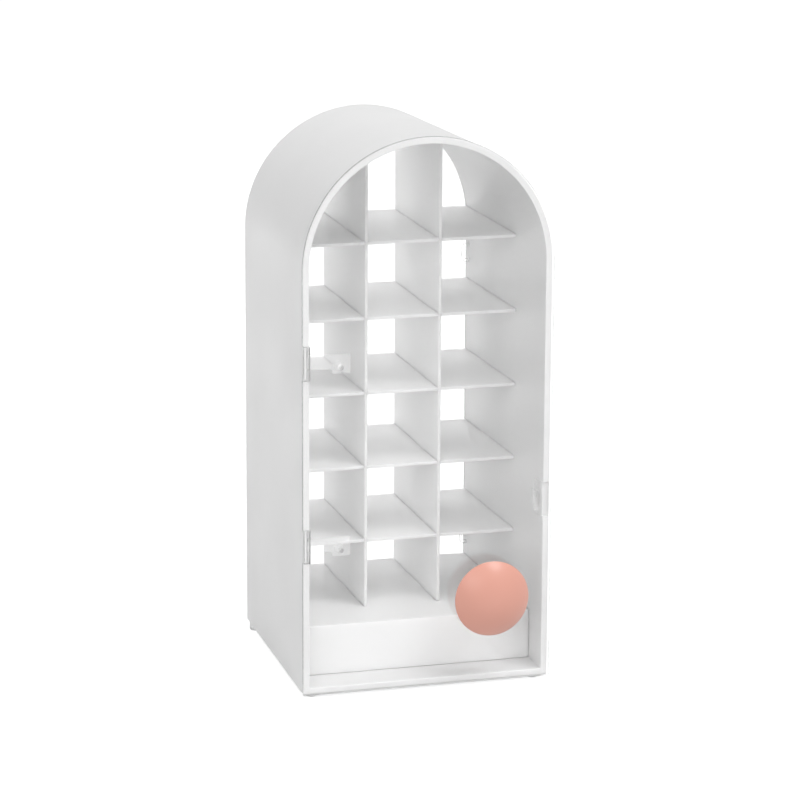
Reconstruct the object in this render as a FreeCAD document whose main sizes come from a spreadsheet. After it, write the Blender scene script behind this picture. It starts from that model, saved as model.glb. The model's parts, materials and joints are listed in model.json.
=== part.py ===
import FreeCAD, Part
import os
import Sketcher
from FreeCAD import Rotation, Vector

# Lipstick organizer: a white moulded arch shell with a clear door, a cross-lapped grid of thin
# sheets standing on a step, a clear back panel, and small clear hinges and catch.
# Millimetres. X runs across, Y from front to back, Z up. The origin is under the middle of the
# whole object, on the surface that its feet stand on.

doc = FreeCAD.newDocument("lipstick_organizer")

# Driving dimensions
# Everything on the shell is measured in the shell's own frame: across from its middle plane,
# back from its parting line (where the outside is widest, just behind the front rim) and up
# from its bottom edge at that line.
DIMENSIONS = {
    # Shell: a tube with an arch top, drafted so that it narrows towards the back on every side
    "shell_width": 100.0,
    "shell_height": 217.2,
    "shell_depth": 94.0,
    "shell_wall": 2.8,
    "draft_inset": 1.85,
    "lip_depth": 3.35,
    "lip_inset": 0.15,
    # Door: a clear sheet in front of the rim
    "door_gap": 0.6,
    "door_thickness": 2.2,
    "door_side_overhang": 0.25,
    "door_top_overhang": 0.3,
    "door_edge_round": 0.5,
    # Knob: a shallow dome on a cone, turned about its own axis
    "knob_diameter": 30.4,
    "knob_projection": 11.0,
    "knob_rim_height": 4.6,
    "knob_rim_round": 0.7,
    "knob_neck_diameter": 12.0,
    "knob_neck_height": 1.0,
    "knob_from_right": 25.5,
    "knob_up": 35.3,
    # Knob screw, entered from inside the door
    "screw_diameter": 3.0,
    "screw_head_diameter": 5.6,
    "screw_head_height": 1.8,
    "screw_head_round": 0.6,
    "screw_bite": 6.0,
    "screw_slot_width": 0.8,
    "screw_slot_depth": 0.9,
    "washer_diameter": 7.0,
    "washer_thickness": 0.6,
    "hole_play": 0.2,
    # Grid: two dividers and five shelves of one sheet, halved into each other, the shelves and
    # the deck under them rising a little towards the back
    "grid_front": 30.9,
    "grid_rise": 0.8,
    "grid_play": 0.2,
    "sheet_thickness": 1.2,
    "slot_play": 0.1,
    "column_pitch": 30.14,
    "shelf_pitch": 30.0,
    "lowest_shelf": 50.6,
    "side_play": 0.25,
    # Step under the grid
    "step_front": 10.9,
    "deck_height": 23.0,
    "deck_thickness": 2.0,
    "leg_thickness": 2.0,
    "floor_play": 0.05,
    "tab_length": 10.0,
    "front_tab": 45.0,
    "rear_tab": 75.0,
    # Back panel between the walls, with snap fingers whose hooks catch in pockets of the walls
    "panel_thickness": 1.0,
    "panel_play": 0.15,
    "finger_height": 16.0,
    "finger_thickness": 0.6,
    "finger_length": 3.0,
    "finger_stand": 1.6,
    "upper_finger": 157.0,
    "lower_finger": 37.1,
    "hook_height": 1.2,
    "hook_length": 1.0,
    "hook_spacing": 6.5,
    "hook_bite": 0.3,
    # Hinges: a pin in three knuckles, in a notch of the door's left edge
    "hinge_inset": 1.0,
    "hinge_length": 12.5,
    "upper_hinge": 132.2,
    "lower_hinge": 60.0,
    "knuckle_radius": 1.25,
    "knuckle_length": 4.5,
    "knuckle_gap": 0.1,
    "pin_radius": 0.5,
    "pin_play": 0.04,
    "notch_play": 0.35,
    "leaf_thickness": 1.2,
    "leaf_depth": 4.0,
    "leaf_inset": 0.8,
    "leaf_play": 0.05,
    "neck_inset": 1.6,
    "neck_thickness": 1.2,
    "arm_inset": 2.0,
    "arm_height": 5.6,
    "arm_reach": 11.8,
    "arm_play": 0.3,
    "pad_reach": 18.9,
    "pad_above": 2.8,
    "pad_below": 4.6,
    "pad_thickness": 1.7,
    "rivet_reach": 14.8,
    "rivet_below": 2.1,
    "rivet_radius": 1.0,
    "rivet_head_radius": 2.0,
    "rivet_head_height": 1.0,
    "rivet_head_round": 0.4,
    # Catch: a keeper plate on the right wall and a tongue on the door
    "catch_up": 72.0,
    "keeper_height": 13.4,
    "keeper_thickness": 0.8,
    "keeper_depth": 4.2,
    "keeper_leg": 1.15,
    "keeper_margin": 0.4,
    "keeper_play": 0.15,
    "keeper_gap": 0.1,
    "tongue_height": 6.0,
    "tongue_thickness": 1.2,
    "tongue_tip_thickness": 0.85,
    "tongue_depth": 3.0,
    "tongue_play": 0.15,
    "tongue_lean": 0.35,
    "tongue_base": 2.2,
    "tongue_base_height": 8.0,
    "tongue_base_thickness": 1.0,
    # Feet: bumpers with a peg pressed into the shell's floor
    "foot_height": 2.0,
    "foot_diameter": 5.0,
    "foot_round": 0.6,
    "front_foot_inset": 4.5,
    "rear_foot_inset": 3.0,
    "foot_play": 0.02,
    "peg_diameter": 2.0,
    "peg_length": 1.5,
    "peg_play": 0.02,
    # How far a cut that leaves the material runs past it
    "overcut": 1.0,
}

sheet = doc.addObject("Spreadsheet::Sheet", "Sizes")
for row, (alias, number) in enumerate(DIMENSIONS.items(), start=1):
    sheet.set(f"A{row}", alias)
    sheet.set(f"B{row}", str(number))
    sheet.setAlias(f"B{row}", alias)
doc.recompute()


def size(name):
    """The expression that reads one driving dimension."""
    return f"Sizes.{name}"


def value(expression):
    """The number that an expression gives now, to place a sketch before it is constrained."""
    result = sheet.evalExpression(str(expression))
    return result.Value if hasattr(result, "Value") else float(result)


# Derived places, each an expression of the driving dimensions
HALF_WIDTH = f"({size('shell_width')} / 2)"
SPRING = f"({size('shell_height')} - {HALF_WIDTH})"
SLOPE = f"({size('draft_inset')} / {size('shell_depth')})"
DRAFT_ANGLE = f"atan({SLOPE})"
RIM = f"(-{size('lip_depth')})"
DOOR_BACK = f"({RIM} - {size('door_gap')})"
DOOR_MIDDLE = f"({DOOR_BACK} - {size('door_thickness')} / 2)"
DOOR_FRONT = f"({DOOR_BACK} - {size('door_thickness')})"
DOOR_HALF = f"({HALF_WIDTH} + {size('door_side_overhang')})"
DOOR_SPRING = f"({size('shell_height')} + {size('door_top_overhang')} - {DOOR_HALF})"
KNOB_X = f"({HALF_WIDTH} - {size('knob_from_right')})"
PANEL_FRONT = f"({size('shell_depth')} - {size('panel_thickness')})"
GRID_BACK = f"({PANEL_FRONT} - {size('grid_play')})"
GRID_MIDDLE = f"(({size('grid_front')} + {GRID_BACK}) / 2)"
GRID_SLOPE = f"({size('grid_rise')} / ({GRID_BACK} - {size('grid_front')}))"
SLOT_WIDTH = f"({size('sheet_thickness')} + {size('slot_play')})"
PARTING_Y = f"((-{DOOR_FRONT} + {size('knob_projection')} - {size('shell_depth')}) / 2)"
HINGE_X = f"({size('hinge_inset')} - {HALF_WIDTH})"
KEEPER_FACE = f"({HALF_WIDTH} - {size('shell_wall')} - {size('keeper_gap')} - {size('keeper_leg')})"
FINGER_TIP = f"({PANEL_FRONT} - {size('finger_length')})"


def inner_half(y):
    """Half the clear width between the shell's walls at depth y."""
    return f"({HALF_WIDTH} - {size('shell_wall')} - ({y}) * {SLOPE})"


def inner_half_at(y, z):
    """Half the clear width at depth y and height z, under the arch too."""
    rise = f"max(0; ({z}) - {SPRING})"
    return f"(sqrt(pow({inner_half(y)}; 2) - pow({rise}; 2)) - {size('side_play')})"


def ceiling(y, x):
    """Height of the arch's inside at depth y, a distance x from the middle plane."""
    return f"({SPRING} + sqrt(pow({inner_half(y)}; 2) - pow({x}; 2)))"


def floor_top(y):
    """Height of the shell's floor, inside, at depth y."""
    return f"({size('shell_wall')} + ({y}) * {SLOPE})"


def bottom_at(y):
    """Height of the shell's underside at depth y."""
    return f"(({y}) * {SLOPE})"


def deck_top(y):
    """Height of the step's deck at depth y."""
    return f"({size('deck_height')} + (({y}) - {size('step_front')}) * {GRID_SLOPE})"


def shelf_middle(number, y):
    """Middle height at depth y of a shelf, counted from the top of five."""
    front = f"({size('lowest_shelf')} + {5 - number} * {size('shelf_pitch')})"
    return f"({front} + (({y}) - {size('grid_front')}) * {GRID_SLOPE})"


FINGER_FACE = f"({inner_half(size('shell_depth'))} - {size('finger_stand')})"
HOOK_CREST = f"({inner_half(FINGER_TIP)} + {size('hook_bite')})"


def hook_middles():
    """Heights of the snap fingers' hooks: one at each finger's lower end and one above it."""
    middles = []
    for finger in (size("upper_finger"), size("lower_finger")):
        lower = f"({finger} - {size('finger_height')} / 2 + {size('hook_height')} / 2)"
        middles += [lower, f"({lower} + {size('hook_spacing')})"]
    return middles


# Sketch and feature helpers

# A length or volume too small to matter, in mm or cubic mm
NEGLIGIBLE = 0.01


def new_body(label, x="0", y=PARTING_Y, z=size("foot_height")):
    """An empty body whose own frame is the shell's frame, or stands at x, y, z."""
    body = doc.addObject("PartDesign::Body", label)
    body.Label = label
    body.setExpression("Placement.Base.x", x)
    body.setExpression("Placement.Base.y", y)
    body.setExpression("Placement.Base.z", z)
    return body


def new_sketch(body, name, role, offset="0"):
    """A sketch on one of the body's origin planes, moved along the plane's normal."""
    sketch = body.newObject("Sketcher::SketchObject", name)
    plane = next(item for item in body.Origin.OriginFeatures if item.Role == role)
    sketch.AttachmentSupport = [(plane, "")]
    sketch.MapMode = "FlatFace"
    sketch.setExpression("AttachmentOffset.Base.z", offset)
    return sketch


def fix(sketch, kind, geometry, point, expression):
    """One dimension from the sketch's origin to a point, tied to its expression."""
    rule = Sketcher.Constraint(kind, -1, 1, geometry, point, value(expression))
    index = sketch.addConstraint(rule)
    sketch.setExpression(f"Constraints[{index}]", expression)


def add_outline(sketch, corners, arch=False):
    """A closed outline through the corners, given as pairs of expressions.

    With arch, the third side (corner 2 to corner 3) is a half circle centred on the middle.
    """
    first = sketch.GeometryCount
    points = [Vector(value(x), value(y), 0) for x, y in corners]
    count = len(points)
    for number, start in enumerate(points):
        end = points[(number + 1) % count]
        if arch and number == 2:
            middle = (start + end) / 2
            crown = middle + Vector(0, (start - end).Length / 2, 0)
            sketch.addGeometry(Part.Arc(start, crown, end), False)
        else:
            sketch.addGeometry(Part.LineSegment(start, end), False)
    for number in range(count):
        after = (number + 1) % count
        sketch.addConstraint(
            Sketcher.Constraint("Coincident", first + number, 2, first + after, 1)
        )
    for number, (x, y) in enumerate(corners):
        fix(sketch, "DistanceX", first + number, 1, x)
        fix(sketch, "DistanceY", first + number, 1, y)
    if arch:
        fix(sketch, "DistanceY", first + 2, 3, corners[2][1])


def add_rectangle(sketch, low_x, high_x, low_y, high_y):
    """A rectangle between two pairs of expressions."""
    add_outline(sketch, [(low_x, low_y), (high_x, low_y), (high_x, high_y), (low_x, high_y)])


def add_circle(sketch, x, y, radius):
    """A circle at x, y."""
    circle = Part.Circle(Vector(value(x), value(y), 0), Vector(0, 0, 1), value(radius))
    index = sketch.addGeometry(circle, False)
    fix(sketch, "DistanceX", index, 3, x)
    fix(sketch, "DistanceY", index, 3, y)
    rule = sketch.addConstraint(Sketcher.Constraint("Radius", index, value(radius)))
    sketch.setExpression(f"Constraints[{rule}]", radius)


def arch_corners(half, bottom):
    """Corners of an arch outline, for add_outline with arch."""
    return [(f"-({half})", bottom), (half, bottom), (half, SPRING), (f"-({half})", SPRING)]


def add_pad(body, sketch, name, length, reverse=False, taper=None):
    """Material from the sketch along its normal, or against it."""
    pad = body.newObject("PartDesign::Pad", name)
    pad.Profile = sketch
    pad.Reversed = reverse
    pad.setExpression("Length", length)
    if taper:
        pad.setExpression("TaperAngle", taper)
    return pad


def add_pocket(body, sketch, name, length, reverse=False, taper=None):
    """A cut from the sketch against its normal, or along it."""
    pocket = body.newObject("PartDesign::Pocket", name)
    pocket.Profile = sketch
    pocket.Reversed = reverse
    pocket.setExpression("Length", length)
    if taper:
        pocket.setExpression("TaperAngle", taper)
    return pocket


def add_through_pocket(body, sketch, name):
    """A cut right through, both ways from the sketch."""
    pocket = body.newObject("PartDesign::Pocket", name)
    pocket.Profile = sketch
    pocket.Type = "ThroughAll"
    pocket.SideType = "Symmetric"
    return pocket


def upright(y):
    """Offset of a sketch on the XZ plane, whose normal points to the front."""
    return f"-({y})"


# Arch shell
# One moulding: the outside tapers back from the parting line, a short lip in front of it tapers
# the other way, and the cavity follows the outside at one wall thickness.


def make_shell():
    body = new_body("arch_shell")
    outside = new_sketch(body, "shell_outside", "XZ_Plane")
    add_outline(outside, arch_corners(HALF_WIDTH, "0"), arch=True)
    add_pad(body, outside, "shell_block", size("shell_depth"), reverse=True, taper=f"-{DRAFT_ANGLE}")

    lip = new_sketch(body, "shell_lip_outline", "XZ_Plane")
    add_outline(lip, arch_corners(HALF_WIDTH, "0"), arch=True)
    lip_angle = f"atan({size('lip_inset')} / {size('lip_depth')})"
    add_pad(body, lip, "shell_lip", size("lip_depth"), taper=f"-{lip_angle}")

    cavity = new_sketch(body, "shell_cavity_outline", "XZ_Plane", upright(RIM))
    add_outline(cavity, arch_corners(inner_half(RIM), floor_top(RIM)), arch=True)
    reach = f"{size('lip_depth')} + {size('shell_depth')}"
    add_pocket(body, cavity, "shell_cavity", reach, taper=f"-{DRAFT_ANGLE}")

    # Slots for the hinges' plates and reliefs for their arms, in the left wall's rim
    slots = new_sketch(body, "hinge_slot_outline", "XZ_Plane", upright(RIM))
    reliefs = new_sketch(body, "arm_relief_outline", "XZ_Plane", upright(RIM))
    slot_low = f"({size('leaf_inset')} - {size('leaf_play')} - {HALF_WIDTH})"
    slot_high = f"({slot_low} + {size('leaf_thickness')} + 2 * {size('leaf_play')})"
    slot_half = f"({size('hinge_length')} / 2 + {size('leaf_play')})"
    relief_low = f"({size('neck_inset')} - {size('arm_play')} - {HALF_WIDTH})"
    relief_high = f"({size('shell_wall')} + {size('overcut')} - {HALF_WIDTH})"
    relief_half = f"({size('arm_height')} / 2 + {size('arm_play')})"
    for height in (size("upper_hinge"), size("lower_hinge")):
        add_rectangle(slots, slot_low, slot_high, f"{height} - {slot_half}", f"{height} + {slot_half}")
        add_rectangle(
            reliefs, relief_low, relief_high, f"{height} - {relief_half}", f"{height} + {relief_half}"
        )
    slot_depth = f"{size('lip_depth')} + {size('leaf_depth')} + {size('leaf_play')}"
    add_pocket(body, slots, "hinge_slots", slot_depth)
    relief_depth = f"{size('leaf_thickness')} - {size('door_gap')} + {size('arm_play')}"
    add_pocket(body, reliefs, "arm_reliefs", relief_depth)

    # Recess for the catch's keeper, in the right wall's rim
    recess = new_sketch(body, "keeper_recess_outline", "XZ_Plane", upright(RIM))
    recess_half = f"({size('keeper_height')} / 2 + {size('keeper_play')})"
    add_rectangle(
        recess,
        f"{HALF_WIDTH} - {size('shell_wall')} - {size('overcut')}",
        f"{HALF_WIDTH} - {size('keeper_margin')}",
        f"{size('catch_up')} - {recess_half}",
        f"{size('catch_up')} + {recess_half}",
    )
    add_pocket(body, recess, "keeper_recess", f"{size('keeper_thickness')} + {size('keeper_play')} / 2")

    # Pockets in both walls for the hooks of the back panel's snap fingers
    pocket_front = f"{FINGER_TIP} - {size('side_play')}"
    catches = new_sketch(body, "hook_pocket_outline", "XZ_Plane", upright(pocket_front))
    pocket_half = f"({size('hook_height')} / 2 + {size('side_play')})"
    inner_edge = f"({HOOK_CREST} - {size('hook_bite')} - {size('overcut')})"
    outer_edge = f"({HOOK_CREST} + {size('side_play')})"
    for height in hook_middles():
        low = f"{height} - {pocket_half}"
        high = f"{height} + {pocket_half}"
        add_rectangle(catches, inner_edge, outer_edge, low, high)
        add_rectangle(catches, f"-{outer_edge}", f"-{inner_edge}", low, high)
    add_pocket(body, catches, "hook_pockets", f"{size('hook_length')} + 2 * {size('side_play')}")

    # Blind holes in the floor for the feet's pegs
    front_holes = new_sketch(body, "front_peg_hole_outline", "XY_Plane")
    rear_holes = new_sketch(body, "rear_peg_hole_outline", "XY_Plane", rear_foot_rise())
    hole = f"{size('peg_diameter')} / 2 + {size('peg_play')}"
    places = foot_places()
    for x, y in places[:2]:
        add_circle(front_holes, x, y, hole)
    for x, y in places[2:]:
        add_circle(rear_holes, x, y, hole)
    hole_depth = f"{size('peg_length')} + {size('peg_play')}"
    add_pocket(body, front_holes, "front_peg_holes", hole_depth, reverse=True)
    add_pocket(body, rear_holes, "rear_peg_holes", hole_depth, reverse=True)
    return body


def foot_places():
    """Centres of the four feet: front left, front right, rear left, rear right."""
    front_y = f"({RIM} + {size('front_foot_inset')})"
    rear_y = f"({size('shell_depth')} - {size('rear_foot_inset')})"
    front_x = f"({HALF_WIDTH} - {size('front_foot_inset')})"
    rear_x = f"({HALF_WIDTH} - {size('rear_foot_inset')} - {rear_y} * {SLOPE})"
    return [(f"-{front_x}", front_y), (front_x, front_y), (f"-{rear_x}", rear_y), (rear_x, rear_y)]


def rear_foot_rise():
    """How far the shell's underside has risen at the near side of the rear feet."""
    near_side = f"({size('shell_depth')} - {size('rear_foot_inset')} - {size('foot_diameter')} / 2)"
    return bottom_at(near_side)


# Step: a deck on three legs, as wide as the shell allows, cut to the sloping floor, its top
# rising towards the back as the shelves do


def make_step():
    body = new_body("base_step")
    plan = new_sketch(body, "step_plan", "XY_Plane")
    front = size("step_front")
    back = f"({PANEL_FRONT} - {size('grid_play')} / 2)"
    front_half = f"({inner_half(front)} - {size('side_play')})"
    back_half = f"({inner_half(back)} - {size('side_play')})"
    add_outline(
        plan,
        [
            (f"-{front_half}", front),
            (front_half, front),
            (back_half, back),
            (f"-{back_half}", back),
        ],
    )
    before = f"({front} - {size('overcut')})"
    beyond = f"({back} + {size('overcut')})"
    above_all = deck_top(beyond)
    below_all = f"-{size('overcut')}"
    add_pad(body, plan, "step_block", above_all)

    # Two hollows under the deck leave the riser, a middle leg and a rear leg
    hollows = new_sketch(body, "step_hollow_outline", "YZ_Plane")
    leg = size("leg_thickness")
    middle = f"(({front} + {back}) / 2)"
    for near, far in (
        (f"({front} + {leg})", f"({middle} - {leg} / 2)"),
        (f"({middle} + {leg} / 2)", f"({back} - {leg})"),
    ):
        add_outline(
            hollows,
            [
                (near, below_all),
                (far, below_all),
                (far, f"{deck_top(far)} - {size('deck_thickness')}"),
                (near, f"{deck_top(near)} - {size('deck_thickness')}"),
            ],
        )
    add_through_pocket(body, hollows, "step_hollows")

    # The sloping underside of the legs and the sloping top of the deck
    slopes = new_sketch(body, "step_slope_outline", "YZ_Plane")
    add_outline(
        slopes,
        [
            (before, below_all),
            (beyond, below_all),
            (beyond, f"{floor_top(beyond)} + {size('floor_play')}"),
            (before, f"{floor_top(before)} + {size('floor_play')}"),
        ],
    )
    cleared = f"{above_all} + {size('overcut')}"
    add_outline(
        slopes,
        [(before, deck_top(before)), (beyond, above_all), (beyond, cleared), (before, cleared)],
    )
    add_through_pocket(body, slopes, "step_slopes")

    # Slots in the deck for the dividers' tabs
    slots = new_sketch(body, "tab_slot_outline", "XY_Plane", above_all)
    for side in ("-", ""):
        centre = f"({side}{size('column_pitch')} / 2)"
        for tab in (size("front_tab"), size("rear_tab")):
            add_rectangle(
                slots,
                f"{centre} - {SLOT_WIDTH} / 2",
                f"{centre} + {SLOT_WIDTH} / 2",
                f"{tab} - {size('tab_length')} / 2 - {size('slot_play')}",
                f"{tab} + {size('tab_length')} / 2 + {size('slot_play')}",
            )
    slot_depth = f"{above_all} - {size('deck_height')} + {size('deck_thickness')}"
    add_pocket(body, slots, "tab_slots", slot_depth)
    return body


# Dividers: upright sheets, slotted from the back at each shelf, with tabs into the deck


def make_divider(label, side):
    face = f"({side}{size('column_pitch')} / 2 - {size('sheet_thickness')} / 2)"
    body = new_body(label, x=face)
    outline = new_sketch(body, label + "_outline", "YZ_Plane")
    front = size("grid_front")
    reach = f"({size('column_pitch')} / 2 + {size('sheet_thickness')} / 2)"
    corners = [(front, deck_top(front))]
    for tab in (size("front_tab"), size("rear_tab")):
        near = f"{tab} - {size('tab_length')} / 2"
        far = f"{tab} + {size('tab_length')} / 2"
        corners += [
            (near, deck_top(near)),
            (near, f"{deck_top(near)} - {size('deck_thickness')}"),
            (far, f"{deck_top(far)} - {size('deck_thickness')}"),
            (far, deck_top(far)),
        ]
    corners.append((GRID_BACK, deck_top(GRID_BACK)))
    depth = f"({GRID_MIDDLE} - {size('slot_play')} / 2)"
    for number in (5, 4, 3, 2, 1):
        corners += [
            (GRID_BACK, f"{shelf_middle(number, GRID_BACK)} - {SLOT_WIDTH} / 2"),
            (depth, f"{shelf_middle(number, depth)} - {SLOT_WIDTH} / 2"),
            (depth, f"{shelf_middle(number, depth)} + {SLOT_WIDTH} / 2"),
            (GRID_BACK, f"{shelf_middle(number, GRID_BACK)} + {SLOT_WIDTH} / 2"),
        ]
    corners.append((GRID_BACK, f"{ceiling(GRID_BACK, reach)} - {size('side_play')}"))
    corners.append((front, f"{ceiling(front, reach)} - {size('side_play')}"))
    add_outline(outline, corners)
    add_pad(body, outline, label + "_sheet", size("sheet_thickness"))
    return body


# Shelves: sheets that fill the shell's width, tilted by the grid's slope and slotted from the
# front at each divider


def make_shelf(number):
    label = f"shelf_{number}"
    half_sheet = f"{size('sheet_thickness')} / 2"
    underside = f"({shelf_middle(number, '0')} - {half_sheet})"
    body = new_body(label, z=f"{size('foot_height')} + {underside}")
    body.Placement.Rotation = Rotation(Vector(1, 0, 0), value(f"atan({GRID_SLOPE})"))
    body.setExpression("Placement.Rotation.Angle", f"atan({GRID_SLOPE})")
    outline = new_sketch(body, label + "_outline", "XY_Plane")
    front = size("grid_front")
    front_half = inner_half_at(front, f"{shelf_middle(number, front)} + {half_sheet}")
    back_half = inner_half_at(GRID_BACK, f"{shelf_middle(number, GRID_BACK)} + {half_sheet}")
    depth = f"{GRID_MIDDLE} + {size('slot_play')} / 2"
    corners = [(f"-{front_half}", front)]
    for side in ("-", ""):
        low = f"{side}{size('column_pitch')} / 2 - {SLOT_WIDTH} / 2"
        high = f"{side}{size('column_pitch')} / 2 + {SLOT_WIDTH} / 2"
        corners += [(low, front), (low, depth), (high, depth), (high, front)]
    corners += [(front_half, front), (back_half, GRID_BACK), (f"-{back_half}", GRID_BACK)]
    add_outline(outline, corners)
    add_pad(body, outline, label + "_sheet", size("sheet_thickness"))
    return body


# Back panel: a clear sheet between the walls, flush with their ends, with two snap fingers
# beside each side wall, each with two hooks


def make_panel():
    body = new_body("rear_panel")
    outline = new_sketch(body, "panel_outline", "XZ_Plane", upright(PANEL_FRONT))
    half = f"({inner_half(size('shell_depth'))} - {size('panel_play')})"
    bottom = f"({floor_top(size('shell_depth'))} + {size('panel_play')})"
    add_outline(outline, arch_corners(half, bottom), arch=True)
    add_pad(body, outline, "panel_sheet", size("panel_thickness"), reverse=True)

    fingers = new_sketch(body, "finger_outline", "XZ_Plane", upright(PANEL_FRONT))
    inside = f"({FINGER_FACE} - {size('finger_thickness')})"
    for height in (size("upper_finger"), size("lower_finger")):
        low = f"{height} - {size('finger_height')} / 2"
        high = f"{height} + {size('finger_height')} / 2"
        add_rectangle(fingers, inside, FINGER_FACE, low, high)
        add_rectangle(fingers, f"-{FINGER_FACE}", f"-{inside}", low, high)
    add_pad(body, fingers, "snap_fingers", size("finger_length"))

    hook_back = f"{FINGER_TIP} + {size('hook_length')}"
    hooks = new_sketch(body, "hook_outline", "XZ_Plane", upright(hook_back))
    for height in hook_middles():
        low = f"{height} - {size('hook_height')} / 2"
        high = f"{height} + {size('hook_height')} / 2"
        add_rectangle(hooks, inside, HOOK_CREST, low, high)
        add_rectangle(hooks, f"-{HOOK_CREST}", f"-{inside}", low, high)
    add_pad(body, hooks, "finger_hooks", size("hook_length"))
    return body


# Door: a clear arch sheet with rounded edges, notched for the hinges


def make_door():
    body = new_body("front_door")
    outline = new_sketch(body, "door_outline", "XZ_Plane", upright(DOOR_BACK))
    corners = [
        (f"-{DOOR_HALF}", "0"),
        (DOOR_HALF, "0"),
        (DOOR_HALF, DOOR_SPRING),
        (f"-{DOOR_HALF}", DOOR_SPRING),
    ]
    add_outline(outline, corners, arch=True)
    sheet_pad = add_pad(body, outline, "door_sheet", size("door_thickness"))
    doc.recompute()
    thickness = value(size("door_thickness"))
    edges_around = [
        f"Edge{number}"
        for number, edge in enumerate(sheet_pad.Shape.Edges, start=1)
        if edge.BoundBox.YLength < thickness / 2
    ]
    rounding = body.newObject("PartDesign::Fillet", "door_rounding")
    rounding.Base = (sheet_pad, edges_around)
    rounding.setExpression("Radius", size("door_edge_round"))

    notches = new_sketch(body, "hinge_notch_outline", "XZ_Plane", upright(DOOR_MIDDLE))
    notch_half = f"({size('hinge_length')} / 2 + {size('notch_play')})"
    notch_edge = f"{HINGE_X} + {size('knuckle_radius')} + {size('notch_play')}"
    outside = f"-{DOOR_HALF} - {size('overcut')}"
    for height in (size("upper_hinge"), size("lower_hinge")):
        add_rectangle(
            notches, outside, notch_edge, f"{height} - {notch_half}", f"{height} + {notch_half}"
        )
    add_through_pocket(body, notches, "hinge_notches")

    holes = new_sketch(body, "door_hole_outline", "XZ_Plane", upright(DOOR_MIDDLE))
    screw_hole = f"({size('screw_diameter')} + {size('hole_play')}) / 2"
    add_circle(holes, KNOB_X, size("knob_up"), screw_hole)
    for height in (size("upper_hinge"), size("lower_hinge")):
        rivet_x = f"{size('rivet_reach')} - {HALF_WIDTH}"
        rivet_z = f"{height} - {size('rivet_below')}"
        add_circle(holes, rivet_x, rivet_z, f"{size('rivet_radius')} + {size('peg_play')}")
    add_through_pocket(body, holes, "door_holes")
    return body


# Turned pieces
# Each is a revolution about its own upright axis, then laid along the place's axis.


def make_turned(label, profile, x, y, z, turn=None, crown=None):
    """A body turned from a closed profile given as radius and height expressions.

    With a crown height, the profile's last side bulges up to it as an arc.
    """
    body = new_body(label, x=x, y=y, z=z)
    if turn:
        body.Placement.Rotation = turn
    sketch = new_sketch(body, label + "_profile", "XZ_Plane")
    if crown:
        add_domed_profile(sketch, profile, crown)
    else:
        add_outline(sketch, profile)
    revolution = body.newObject("PartDesign::Revolution", label + "_turning")
    revolution.Profile = sketch
    revolution.ReferenceAxis = (sketch, ["V_Axis"])
    revolution.Angle = 360
    return body


def add_domed_profile(sketch, corners, crown):
    """A profile whose last slanted side, from its last corner up to the crown, is an arc.

    The arc's centre lies on the axis, so the turned dome is part of a sphere.
    """
    points = [Vector(value(x), value(y), 0) for x, y in corners]
    top = Vector(0, value(crown), 0)
    count = len(points)
    for number in range(count - 1):
        sketch.addGeometry(Part.LineSegment(points[number], points[number + 1]), False)
    edge = points[-1]
    rise = top.y - edge.y
    radius = (edge.x ** 2 + rise ** 2) / (2 * rise)
    centre = Vector(0, top.y - radius, 0)
    halfway = centre + (edge - centre + top - centre).normalize() * radius
    arc = sketch.addGeometry(Part.Arc(edge, halfway, top), False)
    axis = sketch.addGeometry(Part.LineSegment(top, points[0]), False)
    for number in range(count - 2):
        sketch.addConstraint(Sketcher.Constraint("Coincident", number, 2, number + 1, 1))
    sketch.addConstraint(Sketcher.Constraint("Coincident", count - 2, 2, arc, 1))
    sketch.addConstraint(Sketcher.Constraint("Coincident", arc, 2, axis, 1))
    sketch.addConstraint(Sketcher.Constraint("Coincident", axis, 2, 0, 1))
    for number, (x, y) in enumerate(corners[:-1]):
        fix(sketch, "DistanceX", number, 1, x)
        fix(sketch, "DistanceY", number, 1, y)
    fix(sketch, "DistanceX", count - 2, 2, corners[-1][0])
    fix(sketch, "DistanceY", count - 2, 2, corners[-1][1])
    fix(sketch, "DistanceX", axis, 1, "0")
    fix(sketch, "DistanceY", axis, 1, crown)
    fix(sketch, "DistanceX", arc, 3, "0")


# The knob, screw and washer lie along the knob's axis, which points to the front
TO_FRONT = Rotation(Vector(1, 0, 0), 90)
KNOB_Z = f"{size('foot_height')} + {size('knob_up')}"


def make_knob():
    neck = f"{size('knob_neck_diameter')} / 2"
    hole = f"{size('screw_diameter')} / 2 + {size('peg_play')}"
    rim = f"{size('knob_diameter')} / 2"
    blind = f"{size('screw_bite')} + {size('slot_play')}"
    body = make_turned(
        "door_knob",
        [
            ("0", blind),
            (hole, blind),
            (hole, "0"),
            (neck, "0"),
            (neck, size("knob_neck_height")),
            (rim, size("knob_rim_height")),
        ],
        KNOB_X,
        f"{PARTING_Y} + {DOOR_FRONT}",
        KNOB_Z,
        turn=TO_FRONT,
        crown=size("knob_projection"),
    )
    doc.recompute()
    turning = body.Tip
    widest = 2 * value(rim) - NEGLIGIBLE
    rim_edge = [
        f"Edge{number}"
        for number, edge in enumerate(turning.Shape.Edges, start=1)
        if edge.BoundBox.XLength > widest and edge.BoundBox.ZLength < NEGLIGIBLE
    ]
    rounding = body.newObject("PartDesign::Fillet", "knob_rounding")
    rounding.Base = (turning, rim_edge)
    rounding.setExpression("Radius", size("knob_rim_round"))
    return body


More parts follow.
